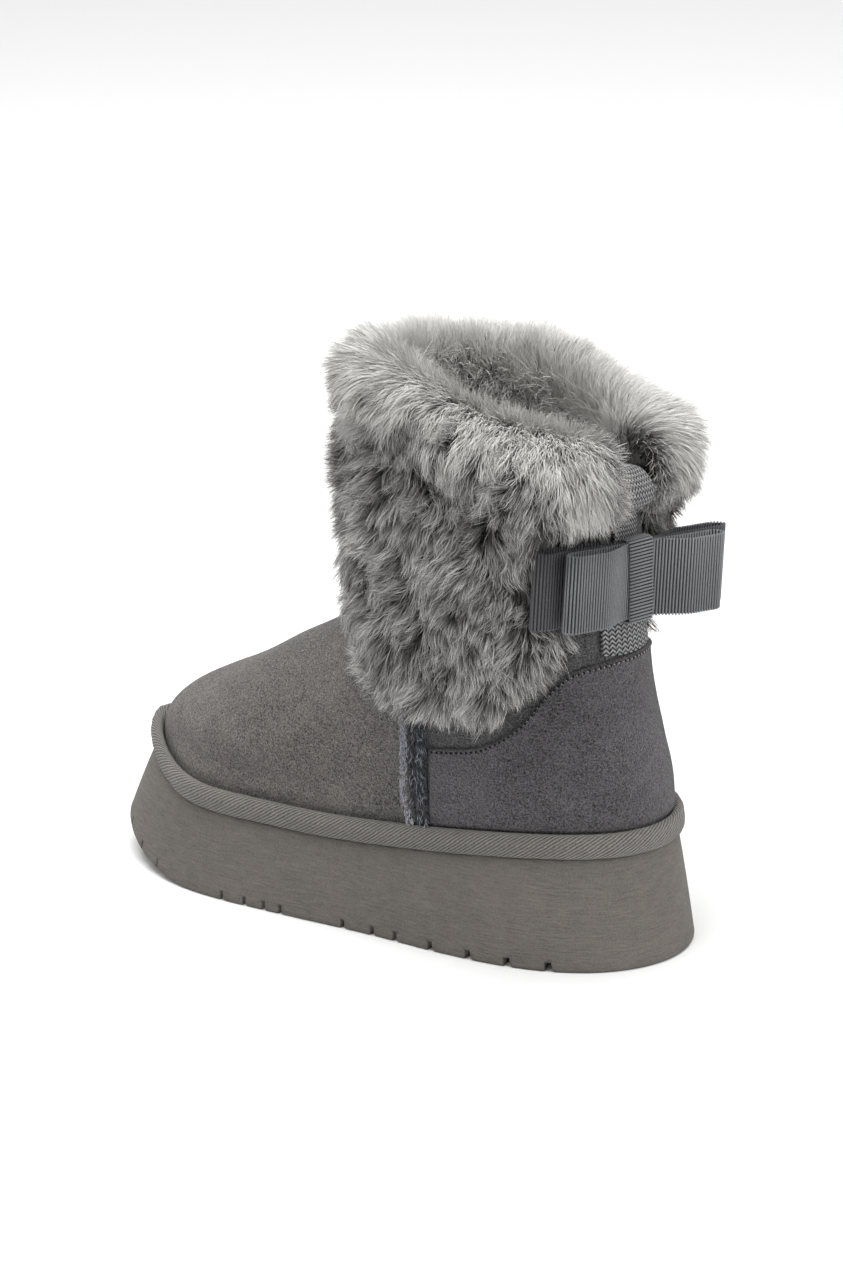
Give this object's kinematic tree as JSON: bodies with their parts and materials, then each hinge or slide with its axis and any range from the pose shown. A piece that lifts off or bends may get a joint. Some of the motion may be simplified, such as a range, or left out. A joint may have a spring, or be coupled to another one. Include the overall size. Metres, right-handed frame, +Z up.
{
  "type": "snow boot",
  "caption": "Left ankle snow boot with a flared platform sole, suede-like upper, rolled edge binding, deep fur cuff split at the back, pull tape and a double ribbon bow.",
  "frame": {"origin": "on the floor plane, in the middle of the heel's tread", "axes": "+X towards the toe, +Y towards the outer side of a left foot, +Z up from the floor"},
  "size_m": [0.2699, 0.1333, 0.2399],
  "materials": {
    "sole_foam": "matte, faintly grained foam",
    "binding_twill": "diagonal twill",
    "suede": "brushed nap",
    "quarter_suede": "brushed nap, a little cooler",
    "seam_pile": "short raised pile",
    "fur": "deep pile, dark at the roots",
    "insole_plush": "short plush",
    "webbing": "herringbone webbing",
    "ribbon": "cross ribbed ribbon"
  },
  "bodies": {
    "root": {"platform_sole": "sole_foam", "edge_binding": "binding_twill", "insole": "insole_plush", "upper": "suede", "heel_quarter": "quarter_suede", "side_seam_outer": "seam_pile", "side_seam_inner": "seam_pile", "fur_cuff": "fur", "pull_tape": "webbing", "bow_front_loops": "ribbon", "bow_back_loops": "ribbon", "bow_band": "ribbon"}
  },
  "joints": []
}
